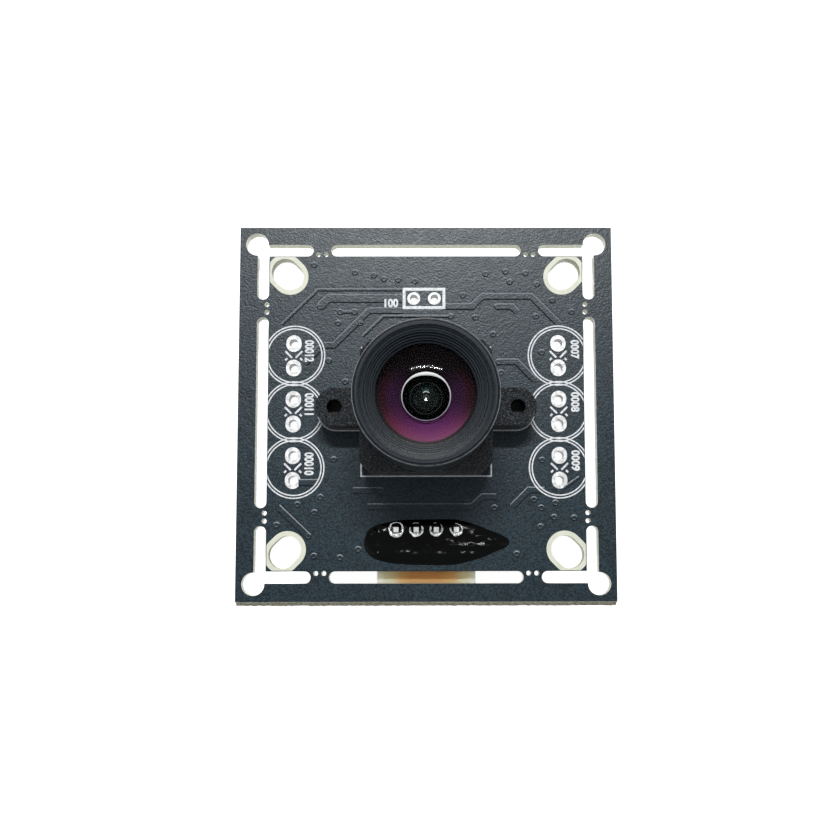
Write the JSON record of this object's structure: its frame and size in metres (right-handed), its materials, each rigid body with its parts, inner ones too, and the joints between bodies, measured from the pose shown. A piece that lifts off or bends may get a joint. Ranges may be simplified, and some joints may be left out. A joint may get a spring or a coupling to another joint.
{
  "type": "camera module",
  "caption": "Square camera board with a snap-off frame, a moulded holder on its front, a threaded wide-angle lens that turns to focus and a cable connector on its back.",
  "frame": {"origin": "centre of the four corner holes, on the board's back face", "axes": "+Z from the back of the board out of the lens, +Y up the board away from the cable connector, +X to the right seen from the front"},
  "size_m": [0.038, 0.038, 0.0223],
  "materials": {
    "solder_mask": "black solder mask on glass-fibre laminate, semi-gloss",
    "bare_tin": "tinned copper, dull",
    "masked_copper": "copper under black solder mask, semi-gloss",
    "white_print": "white printing ink, matt",
    "tan_nylon": "tan nylon, satin",
    "tinned_brass": "tinned brass, satin",
    "solder": "bright solder",
    "black_resin": "black epoxy resin, high gloss",
    "black_moulding": "black glass-filled plastic with a spark-eroded texture",
    "black_anodised": "black anodised aluminium, satin",
    "coated_glass": "optical glass with a violet coating",
    "optical_glass": "optical glass with a green coating",
    "black_shim": "black oxide, matt",
    "filter_glass": "blue-green filter glass",
    "cover_glass": "clear cover glass",
    "silicon": "silicon, iridescent",
    "ceramic_package": "black ceramic, matt",
    "chip_epoxy": "black moulded epoxy, matt",
    "tinned_leads": "tin plate",
    "screw_steel": "zinc plated steel",
    "capacitor_ceramic": "tan ceramic, matt",
    "resistor_ceramic": "black glazed ceramic"
  },
  "bodies": {
    "board": {"circuit_board": "solder_mask", "mounting_rings": "bare_tin", "lamp_pads": "bare_tin", "cell_pads": "bare_tin", "connector_pads": "bare_tin", "front_tracks": "masked_copper", "board_markings": "white_print", "connector_housing": "tan_nylon", "connector_pins": "tinned_brass", "solder_joints": "solder", "sealing_resin": "black_resin", "lens_holder": "black_moulding", "holder_screws": "screw_steel", "infrared_filter": "filter_glass", "sensor_package": "ceramic_package", "sensor_chip": "silicon", "sensor_cover": "cover_glass", "video_processor": "chip_epoxy", "processor_leads": "tinned_leads", "flash_memory": "chip_epoxy", "flash_leads": "tinned_leads", "voltage_regulators": "chip_epoxy", "regulator_leads": "tinned_leads", "crystal": "tinned_leads", "capacitors": "capacitor_ceramic", "capacitor_ends": "tinned_leads", "resistors": "resistor_ceramic", "resistor_ends": "tinned_leads"},
    "lens": {"lens_barrel": "black_anodised", "retaining_ring": "black_anodised", "front_lens": "coated_glass", "front_spacer": "black_shim", "second_lens": "optical_glass", "aperture_plate": "black_shim", "spacer_tube": "black_shim", "rear_lens": "optical_glass", "rear_ring": "black_anodised"}
  },
  "joints": [
    {"name": "focus_turn", "type": "hinge", "parent": "board", "child": "lens", "pos_m": [0, 0, 0.0116], "axis": [0, 0, 1], "range_deg": [-180, 180]}
  ]
}
